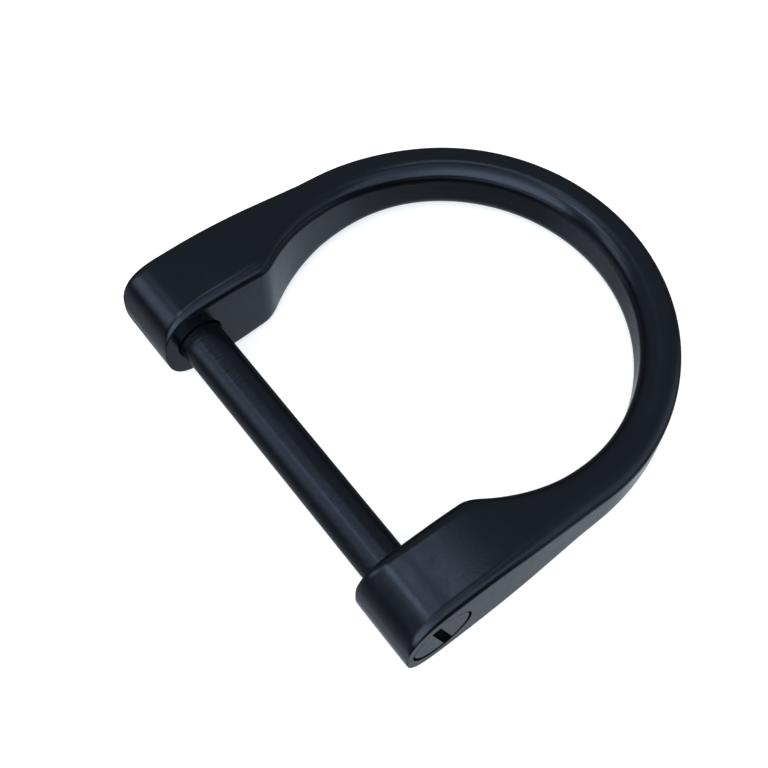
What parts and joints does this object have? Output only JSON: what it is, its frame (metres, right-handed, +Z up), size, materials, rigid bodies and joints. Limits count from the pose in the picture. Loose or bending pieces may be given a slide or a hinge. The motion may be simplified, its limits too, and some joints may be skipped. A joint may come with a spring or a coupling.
{
  "type": "screw bar d ring",
  "caption": "D ring of black painted metal: a rounded bow with two thick lugs, closed by a slotted screw bar that comes out to take a strap.",
  "frame": {"origin": "on the table, below the middle of the ring's bounding box, with the ring lying as it rests by itself", "axes": "+X from the screw bar towards the bow, +Y along the screw bar from its head to its thread, +Z up"},
  "size_m": [0.0388, 0.0384, 0.0095],
  "materials": {
    "frame_paint": "satin black paint on a zinc casting",
    "bar_paint": "satin black coat on a turned steel bar"
  },
  "bodies": {
    "frame": {"frame": "frame_paint"},
    "screw_bar": {"screw_bar": "bar_paint"}
  },
  "joints": [
    {"name": "bar_slide", "type": "slide", "parent": "frame", "child": "screw_bar", "axis": [0, -1, 0], "range_m": [0, 0.031]}
  ]
}
